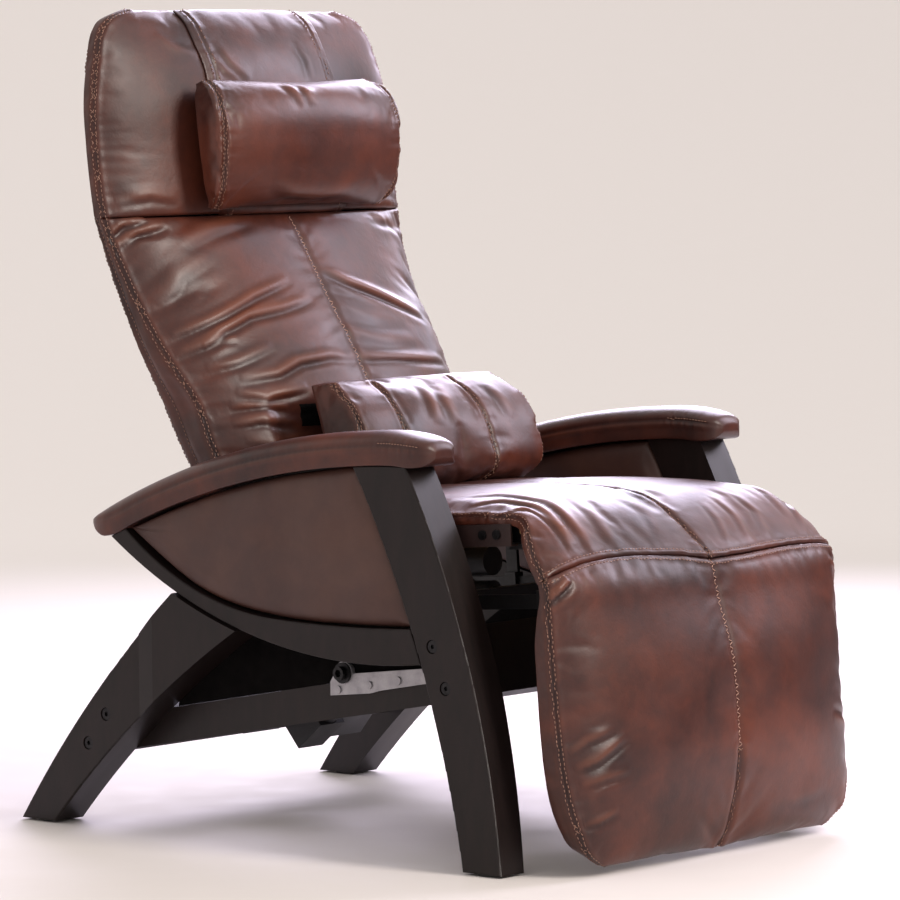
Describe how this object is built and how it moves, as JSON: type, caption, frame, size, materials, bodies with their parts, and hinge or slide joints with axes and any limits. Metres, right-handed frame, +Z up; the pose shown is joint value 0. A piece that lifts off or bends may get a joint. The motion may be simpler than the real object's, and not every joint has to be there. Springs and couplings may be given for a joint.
{
  "type": "massage recliner chair",
  "caption": "Power massage recliner: wooden side frames, leather seat, back and leg rest on a tilting steel frame, with loose head and lumbar pillows.",
  "frame": {"origin": "bottom centre of the chair's box, on the floor between the four feet", "axes": "+Z up, the sitter faces -Y, +X is on the sitter's left"},
  "size_m": [0.7044, 1.0462, 1.1678],
  "materials": {
    "frame_wood": "dark espresso stain, satin lacquer",
    "hidden_wood": "raw plywood",
    "covered_board": "plywood under black lining cloth",
    "leather": "mottled dark reddish-brown hide, soft gloss",
    "lining": "black woven lining",
    "steel_dark": "grey powder coat",
    "steel": "zinc-plated steel",
    "nylon": "natural nylon",
    "black_plastic": "black moulded plastic",
    "black_steel": "black enamelled bolts and screws"
  },
  "bodies": {
    "base": {"front_leg_left": "frame_wood", "front_leg_right": "frame_wood", "rear_leg_left": "frame_wood", "rear_leg_right": "frame_wood", "arc_rail_left": "frame_wood", "arc_rail_right": "frame_wood", "arm_pad_left": "leather", "arm_pad_right": "leather", "outer_panel_left": "leather", "outer_panel_right": "leather", "inner_panel_left": "leather", "inner_panel_right": "leather", "side_rail_left": "frame_wood", "side_rail_right": "frame_wood", "arm_boards": "frame_wood", "front_cross_rail": "frame_wood", "rear_cross_rail": "frame_wood", "leg_bolts": "black_steel", "barrel_nuts": "steel", "frame_dowels": "hidden_wood", "foot_glides": "nylon", "pivot_plates": "steel_dark", "plate_screws": "black_steel", "pivot_bolts": "black_steel", "tilt_bracket": "steel_dark", "control_box": "black_plastic"},
    "seat": {"seat_rails": "steel_dark", "seat_rail_wraps": "leather", "seat_frame_bolts": "black_steel", "seat_arms": "steel_dark", "pivot_bushes": "nylon", "seat_cross_members": "steel_dark", "seat_brackets": "steel_dark", "seat_pins": "steel", "bar_guides": "nylon", "seat_board": "hidden_wood", "seat_lip_board": "hidden_wood", "seat_motors": "black_plastic", "seat_cushion": "leather", "recline_actuator": "black_plastic"},
    "linkage": {"sync_bars": "steel_dark", "sync_pins": "steel", "recline_rod": "steel"},
    "back": {"back_board": "covered_board", "back_levers": "steel_dark", "back_motors": "black_plastic", "heating_pad": "lining", "back_cushion": "leather", "head_cushion": "leather", "back_cover": "leather", "head_flap": "leather"},
    "leg_rest": {"legrest_board": "covered_board", "legrest_levers": "steel_dark", "calf_motors": "black_plastic", "legrest_cushion": "leather"},
    "head_pillow": {"head_pillow": "leather"},
    "lumbar_pillow": {"lumbar_pillow": "leather"},
    "tilt_actuator": {"tilt_actuator": "black_plastic"},
    "tilt_rod": {"tilt_rod": "steel"}
  },
  "joints": [
    {"name": "seat_tilt", "type": "hinge", "parent": "base", "child": "seat", "pos_m": [0, -0.06, 0.249], "axis": [-1, 0, 0], "range_deg": [0, 15]},
    {"name": "back_recline", "type": "hinge", "parent": "seat", "child": "back", "pos_m": [0, 0.11051, 0.4184], "axis": [-1, 0, 0], "range_deg": [0, 24]},
    {"name": "legrest_lift", "type": "hinge", "parent": "seat", "child": "leg_rest", "pos_m": [0, -0.452, 0.402], "axis": [-1, 0, 0], "range_deg": [0, 55]},
    {"name": "linkage_slide", "type": "slide", "parent": "seat", "child": "linkage", "axis": [0, -0.9976, 0.0698], "range_m": [0, 0.04]},
    {"name": "tilt_swing", "type": "hinge", "parent": "base", "child": "tilt_actuator", "pos_m": [0, 0.31, 0.15], "axis": [1, 0, 0], "range_deg": [0, 2.62]},
    {"name": "tilt_rod_slide", "type": "slide", "parent": "tilt_actuator", "child": "tilt_rod", "axis": [0, 0.7644, -0.6447], "range_m": [0, 0.041]},
    {"name": "head_pillow_slide", "type": "slide", "parent": "back", "child": "head_pillow", "axis": [0, 0.1338, 0.991], "range_m": [0, 0.05]},
    {"name": "lumbar_slide", "type": "slide", "parent": "back", "child": "lumbar_pillow", "axis": [0, 0.4731, 0.881], "range_m": [0, 0.03]}
  ],
  "couplings": [
    {"joint": "legrest_lift", "follows": "back_recline", "ratio": 2.2916},
    {"joint": "linkage_slide", "follows": "back_recline", "m_per_rad": 0.09549},
    {"joint": "tilt_swing", "follows": "seat_tilt", "ratio": 0.17405},
    {"joint": "tilt_rod_slide", "follows": "seat_tilt", "m_per_rad": 0.15632}
  ]
}
